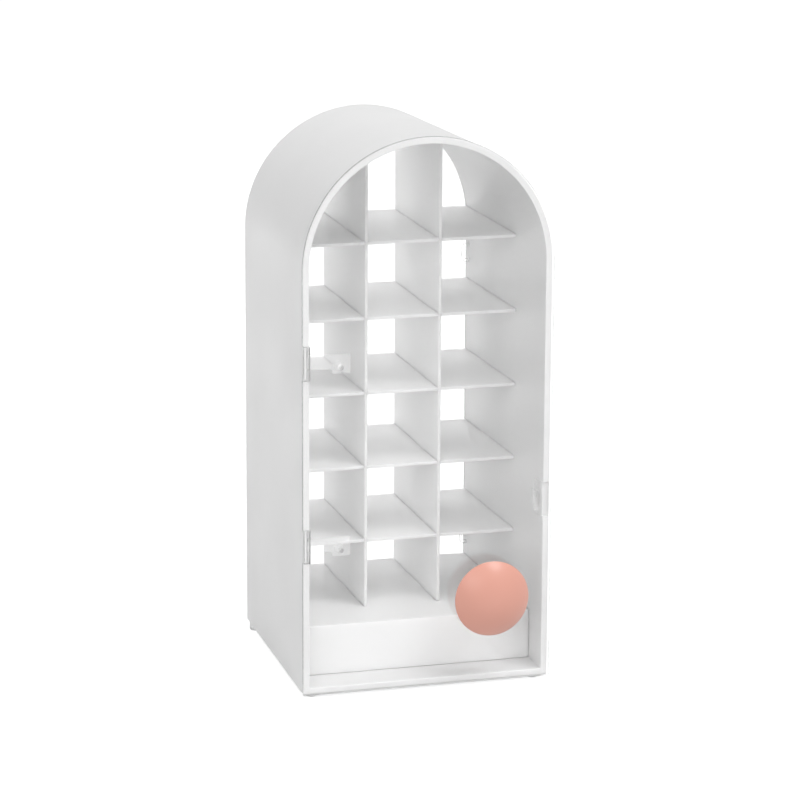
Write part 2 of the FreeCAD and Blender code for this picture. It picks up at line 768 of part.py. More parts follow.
def make_screw():
    """A pan-headed screw with a straight slot, its head inside the door."""
    shank = f"{size('screw_diameter')} / 2"
    head = f"{size('screw_head_diameter')} / 2"
    reach = f"{size('screw_bite')} + {size('door_thickness')} + {size('washer_thickness')}"
    body = make_turned(
        "knob_screw",
        [
            ("0", f"-{size('screw_head_height')}"),
            (f"{head} - {size('screw_head_round')}", f"-{size('screw_head_height')}"),
            (head, f"-{size('screw_head_height')} + {size('screw_head_round')}"),
            (head, "0"),
            (shank, "0"),
            (shank, reach),
            ("0", reach),
        ],
        KNOB_X,
        f"{PARTING_Y} + {DOOR_BACK} + {size('washer_thickness')}",
        KNOB_Z,
        turn=TO_FRONT,
    )
    slot = new_sketch(body, "screw_slot_outline", "XY_Plane", f"-{size('screw_head_height')}")
    slot_half = f"{size('screw_slot_width')} / 2"
    add_rectangle(slot, f"-({head})", head, f"-({slot_half})", slot_half)
    add_pocket(body, slot, "screw_slot", size("screw_slot_depth"), reverse=True)
    return body


def make_washer():
    bore = f"({size('screw_diameter')} + {size('hole_play')}) / 2"
    outer = f"{size('washer_diameter')} / 2"
    thickness = size("washer_thickness")
    return make_turned(
        "knob_washer",
        [(bore, "0"), (outer, "0"), (outer, thickness), (bore, thickness)],
        KNOB_X,
        f"{PARTING_Y} + {DOOR_BACK} + {thickness}",
        KNOB_Z,
        turn=TO_FRONT,
    )


# Hinges
# Each hinge's own frame is on the pin, half way up. The frame leaf's plate is pressed into the
# shell's rim and holds the two outer knuckles and the pin. The door leaf has the middle knuckle,
# a neck through the door's notch, an arm behind the door and a pad with a rivet.
HINGE_Y = f"{PARTING_Y} + {DOOR_MIDDLE}"


def from_hinge_x(x):
    """A place across, measured from the pin instead of from the shell's left face."""
    return f"({x} - {size('hinge_inset')})"


def from_hinge_y(y):
    """A depth, measured from the pin instead of from the parting line."""
    return f"({y} - {DOOR_MIDDLE})"


def make_frame_leaf(name, height):
    label = f"{name}_hinge_frame_leaf"
    body = new_body(label, x=HINGE_X, y=HINGE_Y, z=f"{size('foot_height')} + {height}")
    half = f"({size('hinge_length')} / 2)"
    inner_end = f"({size('knuckle_length')} / 2 + {size('knuckle_gap')})"
    low_x = from_hinge_x(size("leaf_inset"))
    high_x = f"({low_x} + {size('leaf_thickness')})"

    knuckles = new_sketch(body, label + "_knuckle_outline", "XY_Plane", inner_end)
    add_circle(knuckles, "0", "0", size("knuckle_radius"))
    add_pad(body, knuckles, label + "_upper_knuckle", f"{half} - {inner_end}")

    plate = new_sketch(body, label + "_plate_outline", "YZ_Plane", low_x)
    plate_front = f"({from_hinge_y(DOOR_BACK)} + {size('leaf_thickness')} + {size('arm_play')})"
    plate_back = from_hinge_y(size("leaf_depth"))
    tab = f"({size('arm_height')} / 2 + {size('arm_play')})"
    add_outline(
        plate,
        [
            ("0", f"-{half}"),
            (plate_back, f"-{half}"),
            (plate_back, half),
            ("0", half),
            ("0", tab),
            (plate_front, tab),
            (plate_front, f"-{tab}"),
            ("0", f"-{tab}"),
        ],
    )
    add_pad(body, plate, label + "_plate", f"{size('leaf_thickness')}")

    lower = new_sketch(body, label + "_lower_outline", "XY_Plane", f"-{inner_end}")
    add_circle(lower, "0", "0", size("knuckle_radius"))
    add_pad(body, lower, label + "_lower_knuckle", f"{half} - {inner_end}", reverse=True)

    bore = new_sketch(body, label + "_bore_outline", "XY_Plane")
    add_circle(bore, "0", "0", size("pin_radius"))
    add_through_pocket(body, bore, label + "_bore")
    return body


def make_door_leaf(name, height):
    label = f"{name}_hinge_door_leaf"
    body = new_body(label, x=HINGE_X, y=HINGE_Y, z=f"{size('foot_height')} + {height}")
    knuckle_half = f"({size('knuckle_length')} / 2)"
    arm_half = f"({size('arm_height')} / 2)"
    back = from_hinge_y(DOOR_BACK)
    arm_back = f"({back} + {size('leaf_thickness')})"
    arm_low = from_hinge_x(size("arm_inset"))
    neck_low = from_hinge_x(size("neck_inset"))
    neck_high = f"({size('knuckle_radius')} + {size('notch_play')} / 2)"

    knuckle = new_sketch(body, label + "_knuckle_outline", "XY_Plane", f"-{knuckle_half}")
    add_circle(knuckle, "0", "0", size("knuckle_radius"))
    add_pad(body, knuckle, label + "_knuckle", size("knuckle_length"))

    neck = new_sketch(body, label + "_neck_outline", "XY_Plane", f"-{knuckle_half}")
    add_rectangle(neck, neck_low, neck_high, f"-{size('neck_thickness')} / 2", arm_back)
    add_pad(body, neck, label + "_neck", size("knuckle_length"))

    arm = new_sketch(body, label + "_arm_outline", "XZ_Plane", upright(back))
    add_rectangle(arm, arm_low, from_hinge_x(size("arm_reach")), f"-{arm_half}", arm_half)
    add_pad(body, arm, label + "_arm", size("leaf_thickness"), reverse=True)

    pad_sketch = new_sketch(body, label + "_pad_outline", "XZ_Plane", upright(back))
    add_rectangle(
        pad_sketch,
        from_hinge_x(size("arm_reach")),
        from_hinge_x(size("pad_reach")),
        f"-{size('pad_below')}",
        size("pad_above"),
    )
    add_pad(body, pad_sketch, label + "_pad", size("pad_thickness"), reverse=True)

    bore = new_sketch(body, label + "_bore_outline", "XY_Plane")
    add_circle(bore, "0", "0", f"{size('pin_radius')} + {size('pin_play')}")
    add_through_pocket(body, bore, label + "_bore")

    hole = new_sketch(body, label + "_rivet_outline", "XZ_Plane", upright(back))
    add_circle(
        hole,
        from_hinge_x(size("rivet_reach")),
        f"-{size('rivet_below')}",
        f"{size('rivet_radius')} + {size('peg_play')}",
    )
    add_pocket(body, hole, label + "_rivet_hole", size("pad_thickness"))
    return body


def make_pin(name, height):
    label = f"{name}_hinge_pin"
    pin = doc.addObject("Part::Cylinder", label)
    pin.Label = label
    pin.setExpression("Radius", size("pin_radius"))
    pin.setExpression("Height", size("hinge_length"))
    pin.setExpression("Placement.Base.x", HINGE_X)
    pin.setExpression("Placement.Base.y", HINGE_Y)
    lower_end = f"{size('foot_height')} + {height} - {size('hinge_length')} / 2"
    pin.setExpression("Placement.Base.z", lower_end)
    return pin


def make_rivet(name, height):
    """A flat-headed rivet through the pad and the door, its head on the inside."""
    shank = size("rivet_radius")
    head = size("rivet_head_radius")
    reach = f"{size('pad_thickness')} + {size('door_thickness')}"
    top = size("rivet_head_height")
    return make_turned(
        f"{name}_hinge_rivet",
        [
            ("0", f"-{top}"),
            (f"{head} - {size('rivet_head_round')}", f"-{top}"),
            (head, f"-{top} + {size('rivet_head_round')}"),
            (head, "0"),
            (shank, "0"),
            (shank, reach),
            ("0", reach),
        ],
        f"{size('rivet_reach')} - {HALF_WIDTH}",
        f"{PARTING_Y} + {DOOR_BACK} + {size('pad_thickness')}",
        f"{size('foot_height')} + {height} - {size('rivet_below')}",
        turn=TO_FRONT,
    )


# Catch
# The keeper is a clear angle: one leg lies in the rim's recess, the other on the wall's inside.
# The tongue leans away from it by as much as its tip swings out while the door opens.


def make_keeper():
    underside = f"{size('foot_height')} + {size('catch_up')} - {size('keeper_height')} / 2"
    body = new_body("catch_keeper", z=underside)
    outline = new_sketch(body, "keeper_outline", "XY_Plane")
    inner = KEEPER_FACE
    step = f"({KEEPER_FACE} + {size('keeper_leg')})"
    outer = f"({HALF_WIDTH} - {size('keeper_margin')} - {size('keeper_play')})"
    shelf = f"({RIM} + {size('keeper_thickness')})"
    end = size("keeper_depth")
    add_outline(
        outline, [(inner, RIM), (outer, RIM), (outer, shelf), (step, shelf), (step, end), (inner, end)]
    )
    add_pad(body, outline, "keeper_angle", size("keeper_height"))
    return body


def make_tongue():
    body = new_body("catch_tongue", z=f"{size('foot_height')} + {size('catch_up')}")
    face = f"({KEEPER_FACE} - {size('tongue_play')})"
    tip = f"({face} - {size('tongue_lean')})"
    outline = new_sketch(body, "tongue_outline", "XY_Plane", f"-{size('tongue_height')} / 2")
    add_outline(
        outline,
        [
            (f"{face} - {size('tongue_thickness')}", DOOR_BACK),
            (face, DOOR_BACK),
            (tip, size("tongue_depth")),
            (f"{tip} - {size('tongue_tip_thickness')}", size("tongue_depth")),
        ],
    )
    add_pad(body, outline, "tongue_blade", size("tongue_height"))
    base = new_sketch(body, "tongue_base_outline", "XZ_Plane", upright(DOOR_BACK))
    base_half = f"({size('tongue_base_height')} / 2)"
    add_rectangle(base, f"{face} - {size('tongue_base')}", face, f"-{base_half}", base_half)
    add_pad(body, base, "tongue_base", size("tongue_base_thickness"), reverse=True)
    return body


# Feet: the rear ones are taller, because the shell's underside rises towards the back


def make_foot(label, x, y, rise):
    radius = f"({size('foot_diameter')} / 2)"
    peg = f"({size('peg_diameter')} / 2)"
    top = f"({size('foot_height')} + {rise} - {size('foot_play')})"
    return make_turned(
        label,
        [
            ("0", "0"),
            (f"{radius} - {size('foot_round')}", "0"),
            (radius, size("foot_round")),
            (radius, top),
            (peg, top),
            (peg, f"{top} + {size('peg_length')}"),
            ("0", f"{top} + {size('peg_length')}"),
        ],
        x,
        f"{PARTING_Y} + {y}",
        "0",
    )


subparts = [make_shell(), make_step()]
subparts.append(make_divider("left_divider", "-"))
subparts.append(make_divider("right_divider", ""))
for shelf_number in range(1, 6):
    subparts.append(make_shelf(shelf_number))
subparts.append(make_panel())
subparts += [make_door(), make_knob(), make_screw(), make_washer()]
for hinge_name in ("upper", "lower"):
    hinge_height = size(hinge_name + "_hinge")
    subparts.append(make_frame_leaf(hinge_name, hinge_height))
    subparts.append(make_door_leaf(hinge_name, hinge_height))
    subparts.append(make_pin(hinge_name, hinge_height))
    subparts.append(make_rivet(hinge_name, hinge_height))
subparts += [make_tongue(), make_keeper()]
foot_labels = ("front_left_foot", "front_right_foot", "rear_left_foot", "rear_right_foot")
for foot_label, (foot_x, foot_y) in zip(foot_labels, foot_places()):
    foot_rise = rear_foot_rise() if foot_label.startswith("rear") else "0"
    subparts.append(make_foot(foot_label, foot_x, foot_y, foot_rise))

doc.recompute()

# Nothing is written unless every object is sound and every cut took something away
for item in doc.Objects:
    if "Invalid" in item.State or "Error" in item.State:
        raise RuntimeError(f"{item.Name} failed: {item.State}")
    if item.TypeId == "PartDesign::Pocket":
        before = item.BaseFeature.Shape.Volume
        if item.Shape.Volume > before - NEGLIGIBLE:
            raise RuntimeError(f"{item.Name} cuts nothing")
for part in subparts:
    if part.Shape.isNull() or not part.Shape.isValid() or len(part.Shape.Solids) != 1:
        raise RuntimeError(f"{part.Label} isn't one sound solid")

os.makedirs("parts", exist_ok=True)
for part in subparts:
    part.Shape.exportStep(os.path.join("parts", part.Label + ".step"))
    box = part.Shape.BoundBox
    print(f"{part.Label}: {box.XLength:.2f} x {box.YLength:.2f} x {box.ZLength:.2f} mm")
print(f"{len(subparts)} parts written")
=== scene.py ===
# %% [markdown]
# # Lipstick organizer
# The object is a white moulded arch, open at the front, with a grid of thin sheets inside it, a
# clear back panel, and a clear door that swings on two small clear hinges and carries a salmon
# knob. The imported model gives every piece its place. This file gives the pieces their looks:
# it models the visible ones again with rounded edges, and builds a material for each finish.

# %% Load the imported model
import json
import math

import bmesh
import bpy
from mathutils import Matrix, Vector

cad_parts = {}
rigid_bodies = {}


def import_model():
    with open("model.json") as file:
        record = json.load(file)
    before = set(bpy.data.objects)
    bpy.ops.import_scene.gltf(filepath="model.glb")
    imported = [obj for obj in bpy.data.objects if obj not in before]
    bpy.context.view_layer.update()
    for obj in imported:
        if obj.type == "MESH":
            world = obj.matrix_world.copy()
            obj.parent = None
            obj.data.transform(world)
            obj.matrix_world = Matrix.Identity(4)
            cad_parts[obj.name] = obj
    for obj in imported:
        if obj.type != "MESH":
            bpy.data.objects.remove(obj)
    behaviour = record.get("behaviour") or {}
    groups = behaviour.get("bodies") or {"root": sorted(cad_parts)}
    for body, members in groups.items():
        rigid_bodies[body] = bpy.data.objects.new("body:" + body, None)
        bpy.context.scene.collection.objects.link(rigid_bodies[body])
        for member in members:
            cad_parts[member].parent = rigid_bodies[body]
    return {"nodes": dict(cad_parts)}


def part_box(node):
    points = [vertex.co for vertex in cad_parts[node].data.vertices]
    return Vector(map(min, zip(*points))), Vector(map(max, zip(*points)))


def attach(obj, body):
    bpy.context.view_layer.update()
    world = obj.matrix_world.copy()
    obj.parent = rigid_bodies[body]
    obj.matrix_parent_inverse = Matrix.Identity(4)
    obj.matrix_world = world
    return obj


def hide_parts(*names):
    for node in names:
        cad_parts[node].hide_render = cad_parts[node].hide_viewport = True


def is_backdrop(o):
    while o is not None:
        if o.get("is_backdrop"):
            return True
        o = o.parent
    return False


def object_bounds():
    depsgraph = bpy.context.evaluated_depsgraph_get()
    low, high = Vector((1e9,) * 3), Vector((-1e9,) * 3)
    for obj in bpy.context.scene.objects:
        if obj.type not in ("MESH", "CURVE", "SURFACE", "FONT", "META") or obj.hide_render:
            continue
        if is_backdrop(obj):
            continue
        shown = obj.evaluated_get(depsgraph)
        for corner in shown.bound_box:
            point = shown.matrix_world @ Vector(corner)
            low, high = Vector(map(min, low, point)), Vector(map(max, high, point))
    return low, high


for leftover in list(bpy.data.objects):
    bpy.data.objects.remove(leftover)
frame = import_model()
packed_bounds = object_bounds()
MM = 0.001

# %% [markdown]
# ## The object's own places
# The shell is measured from its parting line, where the mould's two halves met and where it is
# widest. Behind that line it narrows on every side, and a short lip in front of it narrows the
# other way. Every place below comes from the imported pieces' boxes and a few wall sizes.

# %% Places
shell_low, shell_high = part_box("arch_shell")
HALF_WIDTH = (shell_high.x - shell_low.x) / 2
LIP_DEPTH = 3.35 * MM
LIP_INSET = 0.15 * MM
DRAFT_INSET = 1.85 * MM
WALL = 2.8 * MM
RIM_Y = shell_low.y
PARTING_Y = RIM_Y + LIP_DEPTH
BACK_Y = shell_high.y
BOTTOM_Z = shell_low.z
SPRING_Z = shell_high.z - HALF_WIDTH
SLOPE = DRAFT_INSET / (BACK_Y - PARTING_Y)
print("half width", round(HALF_WIDTH, 5), "spring height", round(SPRING_Z, 5))

# %% [markdown]
# ## Camera
# The photograph looks down at the organizer from its front left. The camera stands where the
# photograph's edges and its three vanishing directions put it, more than a metre away, so a
# long lens keeps the uprights nearly parallel.

# %% Camera
CAMERA_AT = Vector((-378.6, -1292.3, 428.3)) * MM
LOOKING = Vector((0.2743, 0.9332, -0.2320)).normalized()
UPWARD = Vector((0.0611, 0.2239, 0.9727))
LENS_MM = 156.95

camera_data = bpy.data.cameras.new("camera")
camera_data.lens = LENS_MM
camera_data.sensor_width = 36.0
camera_data.clip_start = 0.05
camera = bpy.data.objects.new("camera", camera_data)
bpy.context.scene.collection.objects.link(camera)
right = LOOKING.cross(UPWARD).normalized()
up = right.cross(LOOKING)
turn = Matrix((right, up, -LOOKING)).transposed()
camera.matrix_world = Matrix.Translation(CAMERA_AT) @ turn.to_4x4()
bpy.context.scene.camera = camera
bpy.context.scene.view_settings.view_transform = "Standard"
print("camera distance", round((CAMERA_AT - Vector((0, 0, 0.1))).length, 3), "m")

# %% [markdown]
# ## Light
# A white studio has light from all round. Here the world gives half of it, and four wide soft
# lamps give the rest. Seen straight, mirrored or through clear plastic the world is plain white,
# which keeps the clear door nearly invisible, as in the photograph. The key lamp stands high at
# the front right, where the knob's soft shadow on the floor puts it. The front left one reaches
# the right walls of the cells. The rear left one shines through the clear back panel onto the
# dividers, whose left faces are bright in the photograph, and the rear one lights the crown. The
# two behind aren't mirrored in the object, because the photograph shows no bright band along the
# arch, where a lamp behind it would be mirrored at a low angle.

# %% World and lamps
FILL_LEVEL = 0.50
WHITE = (1.0, 1.0, 1.0, 1.0)


def add_seen_mask(nodes, links):
    """One for rays that show a thing straight, mirrored or through clear plastic, else zero."""
    paths = nodes.new("ShaderNodeLightPath")
    seen_or_mirrored = nodes.new("ShaderNodeMath")
    seen_or_mirrored.operation = "MAXIMUM"
    links.new(paths.outputs["Is Camera Ray"], seen_or_mirrored.inputs[0])
    links.new(paths.outputs["Is Glossy Ray"], seen_or_mirrored.inputs[1])
    seen_at_all = nodes.new("ShaderNodeMath")
    seen_at_all.operation = "MAXIMUM"
    links.new(seen_or_mirrored.outputs[0], seen_at_all.inputs[0])
    links.new(paths.outputs["Is Transmission Ray"], seen_at_all.inputs[1])
    return seen_at_all.outputs[0]


world = bpy.data.worlds.new("white_studio")
bpy.context.scene.world = world
world.use_nodes = True
nodes = world.node_tree.nodes
links = world.node_tree.links
nodes.clear()
level = nodes.new("ShaderNodeMapRange")
level.inputs["To Min"].default_value = FILL_LEVEL
level.inputs["To Max"].default_value = 1.0
links.new(add_seen_mask(nodes, links), level.inputs["Value"])
background = nodes.new("ShaderNodeBackground")
background.inputs["Color"].default_value = WHITE
links.new(level.outputs["Result"], background.inputs["Strength"])
output = nodes.new("ShaderNodeOutputWorld")
links.new(background.outputs[0], output.inputs["Surface"])


def add_lamp(name, place, aim, width, watts, mirrored):
    """A square soft lamp at a place, turned to an aim, and mirrored in the object or not."""
    lamp = bpy.data.lights.new(name, "AREA")
    lamp.shape = "SQUARE"
    lamp.size = width
    lamp.energy = watts
    holder = bpy.data.objects.new(name, lamp)
    bpy.context.scene.collection.objects.link(holder)
    holder.location = place
    holder.rotation_euler = (Vector(aim) - Vector(place)).to_track_quat("-Z", "Y").to_euler()
    holder.visible_glossy = mirrored
    return holder


OBJECT_MIDDLE = (0.0, 0.0, 0.1)
LAMPS = {
    "key_lamp": ((0.55, -0.62, 1.35), 0.6, 7.0, True),
    "front_left_lamp": ((-0.75, -1.10, 0.80), 0.8, 3.5, True),
    "rear_left_lamp": ((-0.60, 1.12, 0.40), 1.0, 5.0, False),
    "rear_lamp": ((0.10, 1.00, 0.95), 1.0, 2.5, False),
}
for name, (place, width, watts, mirrored) in LAMPS.items():
    add_lamp(name, place, OBJECT_MIDDLE, width, watts, mirrored)

# %% [markdown]
# ## Floor
# The floor is a wide white sheet. It takes the object's shadow as any matt surface does. A little
# extra white, seen only straight, in mirrors and through clear plastic, lifts it to the white of
# the backdrop.

# %% Floor
FLOOR_SIZE = 8.0
FLOOR_COLOUR = (0.6, 0.6, 0.6, 1.0)
FLOOR_LIFT = 0.75
bpy.ops.object.select_all(action="DESELECT")
bpy.ops.mesh.primitive_plane_add(size=FLOOR_SIZE, location=(0, 0, 0))
floor = bpy.context.object
floor.name = "studio_floor"
floor_paint = bpy.data.materials.new("studio_floor_paint")
floor_paint.use_nodes = True
nodes = floor_paint.node_tree.nodes
links = floor_paint.node_tree.links
nodes.clear()
matt = nodes.new("ShaderNodeBsdfDiffuse")
matt.inputs["Color"].default_value = FLOOR_COLOUR
glow = nodes.new("ShaderNodeEmission")
glow.inputs["Color"].default_value = WHITE
lift = nodes.new("ShaderNodeMath")
lift.operation = "MULTIPLY"
lift.inputs[1].default_value = FLOOR_LIFT
links.new(add_seen_mask(nodes, links), lift.inputs[0])
links.new(lift.outputs[0], glow.inputs["Strength"])
both = nodes.new("ShaderNodeAddShader")
links.new(matt.outputs[0], both.inputs[0])
links.new(glow.outputs[0], both.inputs[1])
output = nodes.new("ShaderNodeOutputMaterial")
links.new(both.outputs[0], output.inputs["Surface"])
floor.data.materials.append(floor_paint)
floor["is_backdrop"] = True
print("floor", FLOOR_SIZE, "m wide")

# %% [markdown]
# ## What the finishes share
# Moulded plastic is never one flat colour. Its gloss wanders where the melt cooled slower, its
# skin has a fine grain from the steel of the mould, and hands leave faint smudges. One node group
# makes these effects for every plastic here. Each material asks for its own amounts.

# %% A group for moulded skin
def build_skin_group():
    """Wandering gloss, fine grain and faint smudges, from the piece's own coordinates."""
    group = bpy.data.node_groups.new("moulded_skin", "ShaderNodeTree")
    face = group.interface
    wanted = [
        ("Colour", "NodeSocketColor", (0.8, 0.8, 0.8, 1.0)),
        ("Tint", "NodeSocketColor", (0.8, 0.78, 0.75, 1.0)),
        ("Cloud Scale", "NodeSocketFloat", 30.0),
        ("Grain Scale", "NodeSocketFloat", 2500.0),
        ("Gloss Low", "NodeSocketFloat", 0.3),
        ("Gloss High", "NodeSocketFloat", 0.45),
        ("Smudges", "NodeSocketFloat", 0.1),
    ]
    for name, kind, start in wanted:
        socket = face.new_socket(name, in_out="INPUT", socket_type=kind)
        socket.default_value = start
    for name, kind in (
        ("Colour", "NodeSocketColor"),
        ("Roughness", "NodeSocketFloat"),
        ("Height", "NodeSocketFloat"),
    ):
        face.new_socket(name, in_out="OUTPUT", socket_type=kind)
    make = group.nodes.new
    join = group.links.new
    given = make("NodeGroupInput")
    taken = make("NodeGroupOutput")
    place = make("ShaderNodeTexCoord")

    clouds = make("ShaderNodeTexNoise")
    clouds.inputs["Detail"].default_value = 3.0
    join(place.outputs["Object"], clouds.inputs["Vector"])
    join(given.outputs["Cloud Scale"], clouds.inputs["Scale"])
    smudge = make("ShaderNodeTexNoise")
    smudge.inputs["Scale"].default_value = 95.0
    smudge.inputs["Detail"].default_value = 5.0
    smudge.inputs["Distortion"].default_value = 0.8
    join(place.outputs["Object"], smudge.inputs["Vector"])
    grain = make("ShaderNodeTexNoise")
    grain.inputs["Detail"].default_value = 2.0
    join(place.outputs["Object"], grain.inputs["Vector"])
    join(given.outputs["Grain Scale"], grain.inputs["Scale"])

    tint_share = make("ShaderNodeMapRange")
    tint_share.inputs["From Min"].default_value = 0.35
    tint_share.inputs["From Max"].default_value = 0.7
    join(clouds.outputs["Fac"], tint_share.inputs["Value"])
    paint = make("ShaderNodeMix")
    paint.data_type = "RGBA"
    join(tint_share.outputs["Result"], paint.inputs["Factor"])
    join(given.outputs["Colour"], paint.inputs["A"])
    join(given.outputs["Tint"], paint.inputs["B"])
    join(paint.outputs["Result"], taken.inputs["Colour"])

    gloss = make("ShaderNodeMapRange")
    gloss.inputs["From Min"].default_value = 0.3
    gloss.inputs["From Max"].default_value = 0.7
    join(clouds.outputs["Fac"], gloss.inputs["Value"])
    join(given.outputs["Gloss Low"], gloss.inputs["To Min"])
    join(given.outputs["Gloss High"], gloss.inputs["To Max"])
    touched = make("ShaderNodeMapRange")
    touched.inputs["From Min"].default_value = 0.55
    touched.inputs["From Max"].default_value = 0.75
    join(smudge.outputs["Fac"], touched.inputs["Value"])
    join(given.outputs["Smudges"], touched.inputs["To Max"])
    dulled = make("ShaderNodeMath")
    dulled.operation = "ADD"
    join(gloss.outputs["Result"], dulled.inputs[0])
    join(touched.outputs["Result"], dulled.inputs[1])
    join(dulled.outputs[0], taken.inputs["Roughness"])
    join(grain.outputs["Fac"], taken.inputs["Height"])
    return group


moulded_skin = build_skin_group()
print("group:", moulded_skin.name)


# %% Helpers that place the group in a material
def new_material(name, record_colour):
    """An empty material with its output, shown in its plain colour in a viewport."""
    material = bpy.data.materials.new(name)
    material.use_nodes = True
    material.diffuse_color = record_colour
    material.node_tree.nodes.clear()
    return material


def add_skin(material, shader, colour, tint, gloss, grain_depth, **amounts):
    """Places the moulded skin in a material and joins it to the shader."""
    make = material.node_tree.nodes.new
    join = material.node_tree.links.new
    skin = make("ShaderNodeGroup")
    skin.node_tree = moulded_skin
    skin.inputs["Colour"].default_value = colour
    skin.inputs["Tint"].default_value = tint
    skin.inputs["Gloss Low"].default_value = gloss[0]
    skin.inputs["Gloss High"].default_value = gloss[1]
    for socket_name, amount in amounts.items():
        skin.inputs[socket_name.replace("_", " ").title()].default_value = amount
    join(skin.outputs["Colour"], shader.inputs["Base Color"])
    join(skin.outputs["Roughness"], shader.inputs["Roughness"])
    bump = make("ShaderNodeBump")
    bump.inputs["Strength"].default_value = 1.0
    bump.inputs["Distance"].default_value = grain_depth
    join(skin.outputs["Height"], bump.inputs["Height"])
    join(bump.outputs["Normal"], shader.inputs["Normal"])
    return skin


def opaque_plastic(name, colour, tint, gloss, grain_depth, spread=0.0, **amounts):
    """A solid plastic: the moulded skin on a plain shader.

    With a spread, light that goes in comes out again about that far away.
    """
    material = new_material(name, colour)
    shader = material.node_tree.nodes.new("ShaderNodeBsdfPrincipled")
    if spread:
        shader.inputs["Subsurface Weight"].default_value = 1.0
        shader.inputs["Subsurface Radius"].default_value = (1.0, 1.0, 1.0)
        shader.inputs["Subsurface Scale"].default_value = spread
    output = material.node_tree.nodes.new("ShaderNodeOutputMaterial")
    material.node_tree.links.new(shader.outputs[0], output.inputs["Surface"])
    add_skin(material, shader, colour, tint, gloss, grain_depth, **amounts)
    return material


# %% [markdown]
# ## White plastics
# The shell and step are satin white mouldings, the grid is a duller sheet. Their whites differ as
# painted light: the shell's is set darker, as painted shade on its lamp-lit rim and crown, and the
# grid's and step's are set lighter, as painted light in the shaded cells and on the deck. White
# plastic is milky: light goes into it and comes out a little further on. In the thin sheets it even
# comes out on the other side, so the grid glows softly where a paper one would be grey.

# %% White finishes
# Painted shade: the shell's white is set darker than the grid's and the step's, so its lamp-lit rim
# and crown come out less bright.
shell_white = opaque_plastic(
    "satin_white_shell",
    (0.79, 0.79, 0.79, 1.0),
    (0.78, 0.78, 0.78, 1.0),
    (0.30, 0.40),
    0.000004,
    spread=1.5 * MM,
    cloud_scale=22.0,
    grain_scale=2600.0,
    smudges=0.06,
)
# Painted light: the grid's white is set lighter than the shell's, so the cells, where shade falls,
# come out bright.
grid_white = opaque_plastic(
    "satin_white_grid",
    (0.975, 0.975, 0.975, 1.0),
    (0.965, 0.965, 0.965, 1.0),
    (0.38, 0.5),
    0.000005,
    spread=3.0 * MM,
    cloud_scale=35.0,
    grain_scale=2200.0,
    smudges=0.06,
)
# Painted light: the step's white is set lighter than the shell's, so the deck inside the door comes
# out bright.
step_white = opaque_plastic(
    "satin_white_step",
    (0.96, 0.96, 0.96, 1.0),
    (0.95, 0.95, 0.95, 1.0),
    (0.34, 0.45),
    0.000004,
    spread=1.5 * MM,
    cloud_scale=26.0,
    grain_scale=2400.0,
    smudges=0.06,
)
print("white finishes:", shell_white.name, grid_white.name, step_white.name)

# %% [markdown]
# ## Salmon
# The knob's colour is moulded in. Its skin is duller than the shell's, so the lamp shows in it as
# a wide soft glow and not as a mirror image.

# %% Salmon finish
knob_salmon = opaque_plastic(
    "moulded_salmon",
    (0.97, 0.475, 0.375, 1.0),
    (0.955, 0.46, 0.36, 1.0),
    (0.28, 0.34),
    0.000006,
    cloud_scale=60.0,
    grain_scale=3000.0,
    smudges=0.05,
)
print("salmon finish:", knob_salmon.name)


# %% [markdown]
# ## Clear plastics
# Clear sheet bends light as acrylic does. A lamp's ray that has to reach what is behind it isn't
# bent but let straight through, because a renderer finds bent light too seldom, and what stands
# behind a door would turn dark. A thin edge would catch rays between its faces and turn black,
# where the real one looks pale, so half of its light goes straight through too. The hinges and
# the catch are clear parts one behind the other, which look pale in the photograph. They bend no
# light at all: a thin white veil with a gloss stands for each of their faces.

# %% Clear finishes
def clear_plastic(
    name, colour, tint, gloss, grain_depth, bending, shown=1.0, glassy=1.0, **amounts
):
    """A see-through plastic with the moulded skin, which lets lamps through.

    Only the shown share of it bends and mirrors light; the rest passes light straight on. With
    glassy at zero, that share is a white veil.
    """
    material = new_material(name, colour)
    make = material.node_tree.nodes.new
    join = material.node_tree.links.new
    shader = make("ShaderNodeBsdfPrincipled")
    shader.inputs["Transmission Weight"].default_value = glassy
    shader.inputs["IOR"].default_value = bending
    shader.inputs["Alpha"].default_value = shown
    add_skin(material, shader, colour, tint, gloss, grain_depth, **amounts)
    straight = make("ShaderNodeBsdfTransparent")
    straight.inputs["Color"].default_value = (0.97, 0.97, 0.97, 1.0)
    paths = make("ShaderNodeLightPath")
    chosen = make("ShaderNodeMixShader")
    join(paths.outputs["Is Shadow Ray"], chosen.inputs[0])
    join(shader.outputs[0], chosen.inputs[1])
    join(straight.outputs[0], chosen.inputs[2])
    output = make("ShaderNodeOutputMaterial")
    join(chosen.outputs[0], output.inputs["Surface"])
    return material


